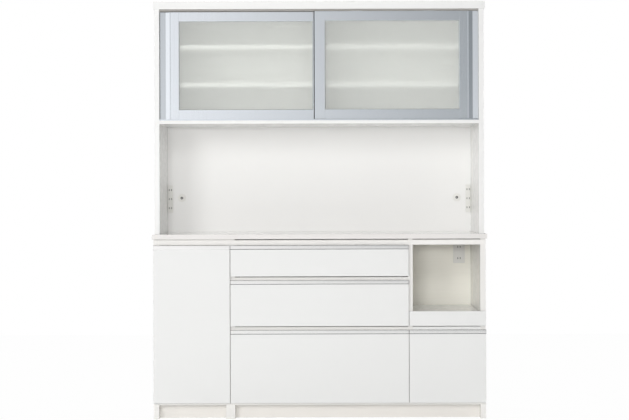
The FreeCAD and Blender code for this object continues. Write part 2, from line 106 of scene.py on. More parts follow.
class CupboardColours(bpy.types.PropertyGroup):
    """Colours of the cupboard's finishes."""
    board: tint("Board", "Satin coating of the upper boards", (0.925, 0.924, 0.912))
    front: tint("Front", "Gloss coating of the drawer and door fronts", (0.838, 0.839, 0.828))
    counter: tint("Counter", "Laminate of the counter", (0.828, 0.805, 0.785))
    plinth: tint("Plinth", "Coating of the plinth boards", (0.836, 0.812, 0.772))
    lining: tint("Lining", "Paper face of backs and drawer boxes", (0.950, 0.932, 0.850))
    base: tint("Base", "Satin coating of the base boards", (0.872, 0.858, 0.832))
    back: tint("Back", "Coating of the niche back and the shelves", (0.876, 0.872, 0.856))
    metal: tint("Metal", "Satin anodised aluminium", (0.875, 0.930, 0.975))
    pull: tint("Pull", "Aluminium of the pulls", (0.985, 0.985, 0.972))
    # The track's dark colour is partly its plastic and partly painted shade of the gap above the sliding
    # doors.
    track: tint("Track", "Top track of the sliding doors", (0.420, 0.405, 0.385))
    glass: tint("Glass", "Etched glass of the sliding doors", (0.940, 0.958, 0.930))
    zinc: tint("Zinc", "Plating of runners, brackets and screws", (0.640, 0.650, 0.660))
    plastic: tint("Plastic", "Moulded outlets and cord glands", (0.800, 0.795, 0.760))
    nylon: tint("Nylon", "Door rollers and guides", (0.700, 0.700, 0.680))
    seal: tint("Seal", "Soft seal around the panes", (0.560, 0.575, 0.580))
    # The cap colour is the end caps' own colour and also the painted shade of the strips under the pull lips.
    cap: tint("Cap", "End caps and strips of the pulls", (0.160, 0.160, 0.165))
    # Painted shade: this near-black stands for the shade inside slots, holes and gaps; it colours the pin
    # hole discs, socket contacts, gland membranes and meeting seals.
    gap: tint("Gap", "Dark inside of slots and holes", (0.020, 0.018, 0.016))


class CupboardSizes(bpy.types.PropertyGroup):
    """Sizes of the small details."""
    board_ease: metres("Board ease", "Rounding of cut board edges", 0.0006)
    metal_ease: metres("Metal ease", "Rounding of aluminium edges", 0.0005)
    sheet_ease: metres("Sheet ease", "Rounding of sheet steel edges", 0.0002)
    mould_ease: metres("Mould ease", "Rounding of moulded plastic edges", 0.0008)
    seal_width: metres("Seal width", "How far the seal lies on the pane", 0.0030)
    seal_height: metres("Seal height", "How far the seal climbs the frame", 0.0025)
    # The meeting seal is partly a seal and partly painted shade: its dark strip paints the shade line between
    # the two doors.
    meeting_seal: metres("Meeting seal", "Seal on a meeting stile's free edge", 0.0040)
    meeting_setback: metres("Meeting setback", "Seal behind the stile's face", 0.0015)
    # The strip in the groove is painted shade: a dark sheet under each pull lip.
    strip_thickness: metres("Strip thickness", "Soft strip in the groove", 0.0006)
    cap_thickness: metres("Cap thickness", "End caps of the pulls", 0.0008)
    bezel_width: metres("Bezel width", "Raised ring around a socket", 0.0190)
    bezel_height: metres("Bezel height", "Raised ring around a socket", 0.0340)
    bezel_wall: metres("Bezel wall", "Wall of the raised ring", 0.0012)
    bezel_rise: metres("Bezel rise", "How far the ring stands out", 0.0007)
    blade_width: metres("Blade width", "Width of a contact in its slot", 0.0029)
    blade_height: metres("Blade height", "Height of a contact in its slot", 0.0089)
    membrane_slit: metres("Membrane slit", "Gap between the membrane's petals", 0.0005)
    membrane_petals: IntProperty(name="Membrane petals", description="Petals of a cord gland",
                                 default=6, min=3, max=16)
    back_screw_pitch: metres("Back screw pitch", "Between the screws of a back panel", 0.150)
    pin_pitch: metres("Pin pitch", "Between shelf pin holes", 0.032)
    pin_radius: metres("Pin radius", "Radius of a shelf pin hole", 0.0025)


class CupboardStudio(bpy.types.PropertyGroup):
    """Camera and light of the studio."""
    camera_distance: metres("Camera distance", "From the origin to the camera", 7.450)
    camera_height: metres("Camera height", "Lens above the floor", 1.095)
    camera_roll: number("Camera roll", "Tilt about the view line", math.radians(0.17), subtype="ANGLE")
    lens: number("Lens", "Focal length in millimetres", 86.4, min=1.0)
    shift_x: number("Shift X", "Sideways lens shift", -0.0076)
    shift_y: number("Shift Y", "Upright lens shift", -0.0318)
    key_power: watts("Key", "Soft lamp from the upper left", 120.0)
    fill_power: watts("Fill", "Soft lamp level with the camera", 172.0)
    high_power: watts("High", "Soft lamp above the camera", 58.0)
    rear_power: watts("Rear", "Each of two lamps behind the cupboard", 150.0)
    ambient: number("Ambient", "Strength of the surrounding light", 0.16)


def colours():
    """The colour settings."""
    return bpy.context.scene.cupboard_colours


def sizes():
    """The size settings."""
    return bpy.context.scene.cupboard_sizes


def studio():
    """The studio settings."""
    return bpy.context.scene.cupboard_studio


# Node helpers
FLOAT = "NodeSocketFloat"
VECTOR = "NodeSocketVector"
COLOUR = "NodeSocketColor"
MATERIAL = "NodeSocketMaterial"
GEOMETRY = "NodeSocketGeometry"
WHITE = (1.0, 1.0, 1.0, 1.0)


def add_node(tree, kind, inputs=None, **options):
    """A new node with its options; an input is a socket to link from or a plain value."""
    node = tree.nodes.new(kind)
    for label, value in options.items():
        setattr(node, label, value)
    for label, value in (inputs or {}).items():
        if isinstance(value, bpy.types.NodeSocket):
            tree.links.new(value, node.inputs[label])
        else:
            node.inputs[label].default_value = value
    return node


def ramp(tree, value, start, end, first=0.0, last=1.0, **options):
    """Map a value from one span to another, held at the ends."""
    node = add_node(tree, "ShaderNodeMapRange", {
        "Value": value,
        "From Min": start,
        "From Max": end,
        "To Min": first,
        "To Max": last,
    }, **options)
    return node.outputs["Result"]


def blend(tree, factor, first, second):
    """Mix two colours, each a socket or a plain value."""
    node = add_node(tree, "ShaderNodeMix", {"Factor": factor, "A": first, "B": second}, data_type="RGBA")
    return node.outputs["Result"]


def reckon(tree, operation, first, second):
    """One sum of two values."""
    return add_node(tree, "ShaderNodeMath", {0: first, 1: second}, operation=operation).outputs[0]


def mix_shaders(tree, factor, first, second):
    """Mix two shaders."""
    return add_node(tree, "ShaderNodeMixShader", {"Fac": factor, 1: first, 2: second}).outputs["Shader"]


def new_group(name, kind, inputs, outputs):
    """An empty node group with named sockets, and its two end nodes."""
    tree = bpy.data.node_groups.new(name, kind)
    for side, sockets in (("INPUT", inputs), ("OUTPUT", outputs)):
        for label, socket_kind in sockets.items():
            tree.interface.new_socket(label, in_out=side, socket_type=socket_kind)
    return tree, tree.nodes.new("NodeGroupInput"), tree.nodes.new("NodeGroupOutput")


def kept_group(build):
    """A node group, built on first use under its function's name."""
    name = build.__name__.replace("_", " ")
    if name not in bpy.data.node_groups:
        build(name)
    return bpy.data.node_groups[name]


# Surface groups
SURFACE_INPUTS = {"Colour": COLOUR, "Shade": COLOUR, "Rough Low": FLOAT, "Rough High": FLOAT, "Relief": FLOAT}
SURFACE_OUTPUTS = {"Base Color": COLOUR, "Roughness": FLOAT, "Normal": VECTOR}
NOISE_LOW = 0.3
NOISE_HIGH = 0.7
DRIFT_SCALE = 2.3
DRIFT_DETAIL = 3.0
HAZE_SCALE = 38.0
HAZE_DETAIL = 4.0
PEEL_DETAIL = 2.0
PEEL_DEPTH = 0.0004
LINE_DETAIL = 3.0
LINE_DEPTH = 0.0002


def noise(tree, vector, scale, detail):
    """A noise texture read at a vector."""
    node = add_node(tree, "ShaderNodeTexNoise", {"Vector": vector, "Scale": scale, "Detail": detail})
    return node.outputs["Fac"]


def end_surface(tree, source, sink, drift, gloss, height, depth):
    """Feed a surface group's outputs from its three noises."""
    given = source.outputs
    colour = blend(tree, drift, given["Colour"], given["Shade"])
    rough = ramp(tree, gloss, NOISE_LOW, NOISE_HIGH, given["Rough Low"], given["Rough High"])
    bump = add_node(tree, "ShaderNodeBump", {
        "Height": height, "Strength": given["Relief"], "Distance": depth})
    tree.links.new(colour, sink.inputs["Base Color"])
    tree.links.new(rough, sink.inputs["Roughness"])
    tree.links.new(bump.outputs["Normal"], sink.inputs["Normal"])


def coated_surface(name):
    """Sprayed or pressed coating: slow colour drift, uneven gloss and fine orange peel."""
    inputs = dict(SURFACE_INPUTS, Grain=FLOAT)
    tree, source, sink = new_group(name, "ShaderNodeTree", inputs, SURFACE_OUTPUTS)
    place = add_node(tree, "ShaderNodeTexCoord").outputs["Object"]
    drift = noise(tree, place, DRIFT_SCALE, DRIFT_DETAIL)
    haze = noise(tree, place, HAZE_SCALE, HAZE_DETAIL)
    peel = noise(tree, place, source.outputs["Grain"], PEEL_DETAIL)
    end_surface(tree, source, sink, drift, haze, peel, PEEL_DEPTH)


def lined_surface(name):
    """Lines drawn out along one axis: brushed metal, or a printed grain."""
    inputs = dict(SURFACE_INPUTS, Grain=VECTOR)
    tree, source, sink = new_group(name, "ShaderNodeTree", inputs, SURFACE_OUTPUTS)
    place = add_node(tree, "ShaderNodeTexCoord").outputs["Object"]
    stretch = add_node(tree, "ShaderNodeVectorMath", {0: place, 1: source.outputs["Grain"]},
                       operation="MULTIPLY")
    lines = noise(tree, stretch.outputs["Vector"], 1.0, LINE_DETAIL)
    end_surface(tree, source, sink, lines, lines, lines, LINE_DEPTH)


# Finishes: tone is a colour setting, shade its darkest part, rough the span of the roughness,
# grain the scale of the peel or of the lines along each axis, and relief the strength of the bump
COATING = {"IOR": 1.5}
MATT = {"IOR": 1.45}
POLYMER = {"IOR": 1.46}
POLYAMIDE = {"IOR": 1.53}
METAL = {"Metallic": 1.0}
GLASS = {"IOR": 1.45, "Specular IOR Level": 0.9, "Transmission Weight": 0.78}
ALONG_X = (5.0, 1400.0, 1400.0)
ALONG_Z = (1400.0, 1400.0, 5.0)
PANE_LIGHT = 0.98
SATIN = dict(shade=0.985, rough=(0.14, 0.22), grain=900.0, relief=0.04, shader=COATING)
LINING = dict(tone="lining", shade=0.93, rough=(0.55, 0.68), relief=0.10, shader=MATT)
ANODISED = dict(shade=0.94, rough=(0.15, 0.22), relief=0.06, shader=METAL)
COATED = {
    "satin_board": dict(SATIN, tone="board"),
    "base_board": dict(SATIN, tone="base"),
    "back_board": dict(SATIN, tone="back"),
    "gloss_front": dict(
        tone="front", shade=0.99, rough=(0.13, 0.18), grain=260.0, relief=0.035, shader=COATING),
    "counter_laminate": dict(
        tone="counter", shade=0.97, rough=(0.04, 0.09), grain=1500.0, relief=0.02, shader=COATING),
    "plinth_board": dict(
        tone="plinth", shade=0.96, rough=(0.40, 0.50), grain=900.0, relief=0.10, shader=COATING),
    "etched_glass": dict(
        tone="glass", shade=0.985, rough=(0.56, 0.60), grain=30.0, relief=0.01, shader=GLASS),
    "moulded_plastic": dict(
        tone="plastic", shade=0.97, rough=(0.36, 0.44), grain=1800.0, relief=0.08, shader=POLYMER),
    "nylon": dict(
        tone="nylon", shade=0.95, rough=(0.44, 0.54), grain=1800.0, relief=0.08, shader=POLYAMIDE),
    "soft_seal": dict(
        tone="seal", shade=0.85, rough=(0.58, 0.70), grain=1600.0, relief=0.12, shader=MATT),
    # This finish colours the pulls' end caps and also the strips of painted shade under their lips.
    "dark_cap": dict(
        tone="cap", shade=0.85, rough=(0.45, 0.55), grain=1600.0, relief=0.10, shader=POLYMER),
    # This finish's dark colour is partly the track's plastic and partly painted shade of the gap above the
    # doors.
    "track_plastic": dict(
        tone="track", shade=0.92, rough=(0.40, 0.50), grain=1600.0, relief=0.08, shader=POLYMER),
    # Painted shade for the insides of slots, holes and gaps.
    "dark_gap": dict(
        tone="gap", shade=0.80, rough=(0.60, 0.75), grain=1600.0, relief=0.10, shader=MATT),
}
LINED = {
    "paper_lining": dict(LINING, grain=(6.0, 90.0, 420.0)),
    "drawer_lining": dict(LINING, grain=(90.0, 6.0, 420.0)),
    "aluminium_level": dict(ANODISED, tone="metal", grain=ALONG_X),
    "aluminium_upright": dict(ANODISED, tone="metal", grain=ALONG_Z),
    "pull_metal": dict(ANODISED, tone="pull", shade=0.96, grain=ALONG_X),
    "zinc_plate": dict(
        tone="zinc", shade=0.88, rough=(0.26, 0.42), grain=(700.0, 8.0, 700.0), relief=0.12, shader=METAL),
}


def shaded(colour, factor):
    """A colour times a factor, with an alpha of one."""
    return tuple(part * factor for part in colour) + (1.0,)


def make_finish(name, build, tone, shade, rough, grain, relief, shader):
    """A material whose colour, roughness and normal come from one surface group."""
    material = bpy.data.materials.new(name)
    material.use_nodes = True
    tree = material.node_tree
    colour = getattr(colours(), tone)
    surface = add_node(tree, "ShaderNodeGroup", {
        "Colour": shaded(colour, 1.0),
        "Shade": shaded(colour, shade),
        "Rough Low": rough[0],
        "Rough High": rough[1],
        "Grain": grain,
        "Relief": relief,
    }, node_tree=kept_group(build))
    principled = tree.nodes["Principled BSDF"]
    for label in SURFACE_OUTPUTS:
        tree.links.new(surface.outputs[label], principled.inputs[label])
    for label, value in shader.items():
        principled.inputs[label].default_value = value
    return material


def let_light_in(material):
    """Let lamp light through a pane; the eye still meets the whole surface."""
    tree = material.node_tree
    path = add_node(tree, "ShaderNodeLightPath")
    solid = ramp(tree, path.outputs["Is Shadow Ray"], 0.0, 1.0, 1.0, 1.0 - PANE_LIGHT)
    tree.links.new(solid, tree.nodes["Principled BSDF"].inputs["Alpha"])


def finish(kind):
    """The finish of one kind, made on first use."""
    name = kind + "_finish"
    if name in bpy.data.materials:
        return bpy.data.materials[name]
    if kind in COATED:
        material = make_finish(name, coated_surface, **COATED[kind])
    else:
        material = make_finish(name, lined_surface, **LINED[kind])
    if kind == "etched_glass":
        let_light_in(material)
    return material


# Mesh helpers
MERGE_DISTANCE = 1e-6
EDGE_TOLERANCE = 1e-5
FLAT_ANGLE = math.radians(1.0)
SHARP_ANGLE = math.radians(35.0)
SHADING_ANGLE = math.radians(15.0)


def coat(node, kind):
    """Give a CAD node that shows as it is a better material."""
    for slot in NODES[node].material_slots:
        slot.material = finish(kind)


def solids_of(node):
    """The node's solids, each as a merged bmesh of its own."""
    merged = bmesh.new()
    merged.from_mesh(NODES[node].data)
    bmesh.ops.remove_doubles(merged, verts=merged.verts, dist=MERGE_DISTANCE)
    seen = set()
    solids = []
    for first in merged.faces:
        if first in seen:
            continue
        seen.add(first)
        waiting = [first]
        solid = bmesh.new()
        copies = {}
        while waiting:
            face = waiting.pop()
            for corner in face.verts:
                if corner not in copies:
                    copies[corner] = solid.verts.new(corner.co)
            solid.faces.new([copies[corner] for corner in face.verts])
            for edge in face.edges:
                if len(edge.link_faces) != 2:
                    continue
                for other in edge.link_faces:
                    if other not in seen:
                        seen.add(other)
                        waiting.append(other)
        solid.normal_update()
        solids.append(solid)
    merged.free()
    return solids


def span(solid):
    """Lowest and highest corner of a bmesh."""
    low = Vector([min(vert.co[axis] for vert in solid.verts) for axis in range(3)])
    high = Vector([max(vert.co[axis] for vert in solid.verts) for axis in range(3)])
    return low, high


def spans_of(node):
    """Lowest and highest corner of each of a node's solids."""
    spans = []
    for solid in solids_of(node):
        spans.append(span(solid))
        solid.free()
    return spans


def middle_x(node):
    """The middle of a node across its width."""
    low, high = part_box(node)
    return (low.x + high.x) / 2


def ease(solid, width):
    """Join flat triangles and round the sharp outer edges."""
    bmesh.ops.dissolve_limit(solid, angle_limit=FLAT_ANGLE, verts=solid.verts, edges=solid.edges)
    sharp = [edge for edge in solid.edges
             if len(edge.link_faces) == 2 and edge.is_convex and edge.calc_face_angle(0.0) > SHARP_ANGLE]
    bmesh.ops.bevel(solid, geom=sharp, offset=width, offset_type="OFFSET", segments=2,
                    profile=0.5, affect="EDGES", clamp_overlap=True)


def join_solids(name, solids, indices=None):
    """One mesh from several bmeshes; indices give each one's material."""
    points = []
    faces = []
    face_indices = []
    for order, solid in enumerate(solids):
        start = len(points)
        solid.verts.index_update()
        points.extend(vert.co.copy() for vert in solid.verts)
        for face in solid.faces:
            faces.append([start + vert.index for vert in face.verts])
            face_indices.append(indices[order] if indices else 0)
        solid.free()
    mesh = bpy.data.meshes.new(name)
    mesh.from_pydata(points, [], faces)
    mesh.polygons.foreach_set("material_index", face_indices)
    mesh.polygons.foreach_set("use_smooth", [True] * len(faces))
    mesh.update()
    mesh.set_sharp_from_angle(angle=SHADING_ANGLE)
    return mesh


def new_object(name, data):
    """An object in the scene's own collection."""
    made = bpy.data.objects.new(name, data)
    bpy.context.scene.collection.objects.link(made)
    return made


def add_piece(mesh, body, kinds, replaced=()):
    """A new piece that rides on a body and may stand for CAD nodes."""
    piece = new_object(mesh.name, mesh)
    mesh.materials.clear()
    for kind in kinds:
        mesh.materials.append(finish(kind))
    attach(piece, body)
    if replaced:
        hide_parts(*replaced)


def add_solids(name, solids, body, kind, replaced=()):
    """A new piece of bmeshes in one finish."""
    add_piece(join_solids(name, solids), body, [kind], replaced)


def ease_node(node, width, kind):
    """Replace a node with a copy whose edges are eased."""
    solids = solids_of(node)
    for solid in solids:
        ease(solid, width)
    add_solids(node + "_eased", solids, BODY_OF[node], kind, [node])


def extruded(outline, push):
    """A closed outline pushed along a vector."""
    solid = bmesh.new()
    near = [solid.verts.new(Vector(point)) for point in outline]
    far = [solid.verts.new(Vector(point) + Vector(push)) for point in outline]
    solid.faces.new(near)
    solid.faces.new(list(reversed(far)))
    for order in range(len(outline)):
        following = (order + 1) % len(outline)
        solid.faces.new([near[order], far[order], far[following], near[following]])
    bmesh.ops.recalc_face_normals(solid, faces=solid.faces)
    return solid


def rectangle(low, high, inset, y):
    """Corners of an upright rectangle at a depth, drawn in by an inset."""
    left = low.x + inset
    right = high.x - inset
    bottom = low.z + inset
    top = high.z - inset
    return [(left, y, bottom), (right, y, bottom), (right, y, top), (left, y, top)]


def block(low, high):
    """A plain strip between two corners."""
    return extruded(rectangle(low, high, 0.0, low.y), (0.0, high.y - low.y, 0.0))


def ring_solid(rings):
    """A closed frame through rings of corners, the last one joined to the first."""
    solid = bmesh.new()
    made = [[solid.verts.new(point) for point in ring] for ring in rings]
    for near, far in zip(made, made[1:] + made[:1]):
        for corner in range(len(near)):
            after = (corner + 1) % len(near)
            solid.faces.new([near[corner], near[after], far[after], far[corner]])
    bmesh.ops.recalc_face_normals(solid, faces=solid.faces)
    return solid


# Geometry Nodes trees; the shares are of a screw head's radius
SCREW_SIDES = 14
STUD_SIDES = 16
CROWN_SHARE = 0.72
RECESS_SHARE = 1.1
SLIT_SHARE = 0.26


def repeat_group(name, inputs):
    """A geometry tree that takes points, named sizes and a finish."""
    inputs = {"Points": GEOMETRY, **inputs, "Finish": MATERIAL}
    return new_group(name, "GeometryNodeTree", inputs, {"Pieces": GEOMETRY})


def set_on_points(tree, source, sink, shape):
    """Stand a shape on every point, turned by the point's own turn, as real faces."""
    turn = add_node(tree, "GeometryNodeInputNamedAttribute", {"Name": "turn"}, data_type="FLOAT_VECTOR")
    place = add_node(tree, "GeometryNodeInstanceOnPoints", {
        "Points": source.outputs["Points"],
        "Instance": shape,
        "Rotation": turn.outputs["Attribute"],
    })
    real = add_node(tree, "GeometryNodeRealizeInstances", {"Geometry": place.outputs["Instances"]})
    paint = add_node(tree, "GeometryNodeSetMaterial", {
        "Geometry": real.outputs["Geometry"], "Material": source.outputs["Finish"]})
    tree.links.new(paint.outputs["Geometry"], sink.inputs["Pieces"])


def turned_stud(tree, sides, foot, crown, height):
    """A cone cut off below its tip."""
    node = add_node(tree, "GeometryNodeMeshCone", {
        "Vertices": sides, "Radius Bottom": foot, "Radius Top": crown, "Depth": height})
    return node.outputs["Mesh"]


def lifted_bar(tree, size, height):
    """A bar that is lifted by a height."""
    bar = add_node(tree, "GeometryNodeMeshCube", {"Size": size})
    lift = add_node(tree, "ShaderNodeCombineXYZ", {"Z": height})
    move = add_node(tree, "GeometryNodeTransform", {
        "Geometry": bar.outputs["Mesh"], "Translation": lift.outputs["Vector"]})
    return move.outputs["Geometry"]


def screw_heads(name):
    """Pan heads with a cross recess."""
    tree, source, sink = repeat_group(name, {
        "Head Radius": FLOAT,
        "Crown Radius": FLOAT,
        "Head Height": FLOAT,
        "Recess Size": VECTOR,
        "Recess Turned": VECTOR,
    })
    size = source.outputs
    head = turned_stud(tree, SCREW_SIDES, size["Head Radius"], size["Crown Radius"], size["Head Height"])
    cut = add_node(tree, "GeometryNodeMeshBoolean", {"Mesh 1": head}, operation="DIFFERENCE", solver="EXACT")
    for label in ("Recess Size", "Recess Turned"):
        tree.links.new(lifted_bar(tree, size[label], size["Head Height"]), cut.inputs["Mesh 2"])
    set_on_points(tree, source, sink, cut.outputs["Mesh"])


def round_studs(name):
    """Low round studs: bumpers, caps and the discs of painted shade that stand for pin holes."""
    inputs = {"Foot Radius": FLOAT, "Crown Radius": FLOAT, "Height": FLOAT}
    tree, source, sink = repeat_group(name, inputs)
    size = source.outputs
    stud = turned_stud(tree, STUD_SIDES, size["Foot Radius"], size["Crown Radius"], size["Height"])
    set_on_points(tree, source, sink, stud)


def socket_contacts(name):
    """Contacts in the slots of a socket, coloured with the painted shade of the slots' insides, standing on
    their points.
    """
    tree, source, sink = repeat_group(name, {"Contact Size": VECTOR, "Contact Depth": FLOAT})
    half = reckon(tree, "MULTIPLY", source.outputs["Contact Depth"], 0.5)
    set_on_points(tree, source, sink, lifted_bar(tree, source.outputs["Contact Size"], half))


def repeat_piece(name, build, values, places, body, kind):
    """A piece made by a tree that runs over places, each a point and a facing."""
    tree = kept_group(build)
    seed = bpy.data.meshes.new(name + "_points")
    seed.from_pydata([point for point, facing in places], [], [])
    turn = seed.attributes.new("turn", "FLOAT_VECTOR", "POINT")
    for order, (point, facing) in enumerate(places):
        turn.data[order].vector = Vector(facing).to_track_quat("Z", "Y").to_euler()
    carrier = new_object(name + "_points", seed)
    modifier = carrier.modifiers.new("repeat", "NODES")
    modifier.node_group = tree
    given = dict(values, Finish=finish(kind))
    for item in tree.interface.items_tree:
        if item.in_out == "INPUT" and item.name in given:
            modifier[item.identifier] = given[item.name]
    depsgraph = bpy.context.evaluated_depsgraph_get()
    mesh = bpy.data.meshes.new_from_object(carrier.evaluated_get(depsgraph))
    mesh.name = name
    carrier.modifiers.remove(modifier)
    bpy.data.objects.remove(carrier)
    if not mesh.polygons:
        raise RuntimeError("no faces came out for " + name)
    add_piece(mesh, body, [kind])


def screws(name, places, body, radius, height):
    """Zinc screws of one size on one body."""
    bar = RECESS_SHARE * radius
    slit = SLIT_SHARE * radius
    values = {
        "Head Radius": radius,
        "Crown Radius": CROWN_SHARE * radius,
        "Head Height": height,
        "Recess Size": (bar, slit, height),
        "Recess Turned": (slit, bar, height),
    }
    repeat_piece(name, screw_heads, values, places, body, "zinc_plate")


def studs(name, places, foot, crown, height, kind):
    """Round studs of one size and finish on the cabinet."""
    values = {"Foot Radius": foot, "Crown Radius": crown, "Height": height}
    repeat_piece(name, round_studs, values, places, "cabinet", kind)


# Operators
class CUPBOARD_OT_boards(bpy.types.Operator):
    """Coat the carcass boards, plinths and linings, and ease their cut edges"""
    bl_idname = "cupboard.boards"
    bl_label = "Boards"

    def execute(self, context):
        for node in UPPER_BOARDS:
            coat(node, "satin_board")
        for node in BASE_SIDES:
            coat(node, "base_board")
        coat("counter_top", "counter_laminate")
        for node, kind in EASED_BOARDS.items():
            ease_node(node, sizes().board_ease, kind)
        ease_node("base_backs", sizes().board_ease, "paper_lining")
        return {"FINISHED"}


class CUPBOARD_OT_fronts(bpy.types.Operator):
    """Coat the fronts and build the drawer boxes behind them"""
    bl_idname = "cupboard.fronts"
    bl_label = "Fronts and drawer boxes"

    def execute(self, context):
        coat("tall_door_panel", "gloss_front")
        coat("tray_front", "gloss_front")
        for drawer in DRAWERS:
            coat(drawer + "_front", "gloss_front")
            ease_node(drawer + "_box", sizes().board_ease, "drawer_lining")
        return {"FINISHED"}


# The section of a pull, as in its solid
LIP_HEIGHT = 0.0180
LIP_THICKNESS = 0.0032
LIP_ROUND = 0.0026
LIP_GROOVE = 0.0020
LIP_STEPS = 4
WEB_THICKNESS = 0.0025


def pull_cap(x, push, low, high):
    """An end cap that covers the pull's section at one end."""
    web_top = high.z - LIP_HEIGHT
    web_bottom = web_top - WEB_THICKNESS
    lip_back = low.y + LIP_THICKNESS
    outline = [
        (x, low.y, web_bottom),
        (x, high.y, web_bottom),
        (x, high.y, web_top),
        (x, lip_back, web_top),
        (x, lip_back, high.z),
    ]
    for step in range(LIP_STEPS + 1):
        angle = math.pi / 2 * step / LIP_STEPS
        y = low.y + LIP_ROUND * (1 - math.sin(angle))
        z = high.z - LIP_ROUND * (1 - math.cos(angle))
        outline.append((x, y, z))
    return extruded(outline, (push, 0.0, 0.0))


def pull_strip(low, high):
    """A dark strip of painted shade at the back of the groove under the lip."""
    web_top = high.z - LIP_HEIGHT
    groove_back = low.y + LIP_GROOVE
    return block(Vector((low.x, groove_back - sizes().strip_thickness, web_top - WEB_THICKNESS)),
                 Vector((high.x, groove_back, web_top)))


class CUPBOARD_OT_pulls(bpy.types.Operator):
    """Build the aluminium pulls along the fronts, their end caps and the strips of painted shade under their
    lips
    """
    bl_idname = "cupboard.pulls"
    bl_label = "Pulls"

    def execute(self, context):
        size = sizes()
        for owner in DRAWERS + ("tall_door",):
            node = owner + "_pull"
            ease_node(node, size.metal_ease, "pull_metal")
            low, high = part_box(node)
            caps = [pull_cap(high.x, size.cap_thickness, low, high)]
            if owner in DRAWERS:
                caps.append(pull_cap(low.x, -size.cap_thickness, low, high))
                # The strip under the lip is painted shade in the groove.
                add_solids(node + "_strip", [pull_strip(low, high)], owner, "dark_cap")
            for cap in caps:
                ease(cap, size.sheet_ease)
            add_solids(node + "_caps", caps, owner, "dark_cap")
        return {"FINISHED"}


# The members of a door frame, in the order of their finishes
FRAME_FINISHES = ("aluminium_upright", "aluminium_level", "zinc_plate", "nylon")
STILE, RAIL, AXLE, GUIDE = range(len(FRAME_FINISHES))
LONG_MEMBER = 0.3


def frame_member(solid):
    """Which member of the frame a solid is, told by its reach."""
    low, high = span(solid)
    reach = high - low
    if reach.z > LONG_MEMBER:
        return STILE
    if reach.x > LONG_MEMBER:
        return RAIL
    return AXLE if reach.y > reach.x else GUIDE


def pane_seal(low, high, face, side):
    """A wedge-shaped seal around the pane; side is the way, in Y, that its face looks."""
    size = sizes()
    return ring_solid([
        rectangle(low, high, 0.0, face + side * size.seal_height),
        rectangle(low, high, size.seal_width, face),
        rectangle(low, high, 0.0, face),
    ])


def meeting_seal(stile, side):
    """Set a stile's free edge back and build a dark seal there that also paints the shade line between the
    doors; side is the way, in X, it looks.
    """
    size = sizes()
    low, high = span(stile)
    edge = high.x if side > 0 else low.x
    inner = edge - side * size.meeting_seal
    for corner in stile.verts:
        if abs(corner.co.x - edge) < EDGE_TOLERANCE:
            corner.co.x = inner
    return block(Vector((min(edge, inner), low.y + size.meeting_setback, low.z)),
                 Vector((max(edge, inner), high.y - size.meeting_setback, high.z)))


def dress_door(door, side):
    """Build one door; side is the way, in X, that its meeting stile looks."""
    solids = solids_of(door + "_frame")
    members = [frame_member(solid) for solid in solids]
    stiles = [solid for solid, member in zip(solids, members) if member == STILE]
    meeting = max(stiles, key=lambda stile: side * span(stile)[0].x)
    strip = meeting_seal(meeting, side)
    # The dark meeting seal is partly a seal and partly painted shade between the doors.
    add_solids(door + "_meeting_seal", [strip], door, "dark_gap")
    rails = [span(solid) for solid, member in zip(solids, members) if member == RAIL]
    bottom, top = sorted(rails, key=lambda rail: rail[0].z)
    for solid in solids:
        ease(solid, sizes().metal_ease)
    mesh = join_solids(door + "_frame_eased", solids, members)
    add_piece(mesh, door, FRAME_FINISHES, [door + "_frame"])
    coat(door + "_pane", "etched_glass")
    low = Vector((bottom[0].x, 0.0, bottom[1].z))
    high = Vector((bottom[1].x, 0.0, top[0].z))
    pane_low, pane_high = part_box(door + "_pane")
    seals = [pane_seal(low, high, pane_low.y, -1), pane_seal(low, high, pane_high.y, 1)]
    add_solids(door + "_seal", seals, door, "soft_seal")
    for end in ("outer", "inner"):
        coat(door + "_" + end + "_roller", "nylon")


class CUPBOARD_OT_glass_doors(bpy.types.Operator):
    """Build the sliding doors: drawn frames, etched panes and the seals around them"""
    bl_idname = "cupboard.glass_doors"
    bl_label = "Glass doors"

    def execute(self, context):
        for door, side in zip(GLASS_DOORS, (1, -1)):
            dress_door(door, side)
        ease_node("door_bottom_track", sizes().sheet_ease, "aluminium_level")
        # The top track's dark plastic is partly painted shade of the gap above the doors.
        ease_node("door_top_track", sizes().sheet_ease, "track_plastic")
        return {"FINISHED"}


# Screws, each a head radius and a head height, and where they sit
RUNNER_SCREW = (0.0034, 0.0016)
FRONT_SCREW = (0.0045, 0.0018)
BRACKET_SCREW = (0.0024, 0.0010)
BACK_SCREW = (0.0040, 0.0016)
CHANNEL_WALL = 0.0012
CHANNEL_SHARES = (0.10, 0.50, 0.90)
BOX_WALL = 0.012
BOX_SIDE_INSET = 0.07
BOX_LOW_INSET = 0.04
BOX_HIGH_INSET = 0.022
WIDE_BOX = 0.5
BRACKET_MIDDLE = 0.4
BRACKET_INSET = 0.012
BRACKET_STEP = 0.011
BRACKET_SHEET = 0.0015
BRACKET_SIDE = 0.0030


def runner_screws(pull_out):
    """Screws in both inner channels of a pull-out."""
    middle = middle_x(pull_out + "_front")
    places = []
    for low, high in spans_of(pull_out + "_inner_runners"):
        left_hand = middle > low.x
        web = high.x - CHANNEL_WALL if left_hand else low.x + CHANNEL_WALL
        for share in CHANNEL_SHARES:
            y = low.y + share * (high.y - low.y)
            places.append(((web, y, (low.z + high.z) / 2), LEFT if left_hand else RIGHT))
    screws(pull_out + "_runner_screws", places, pull_out, *RUNNER_SCREW)


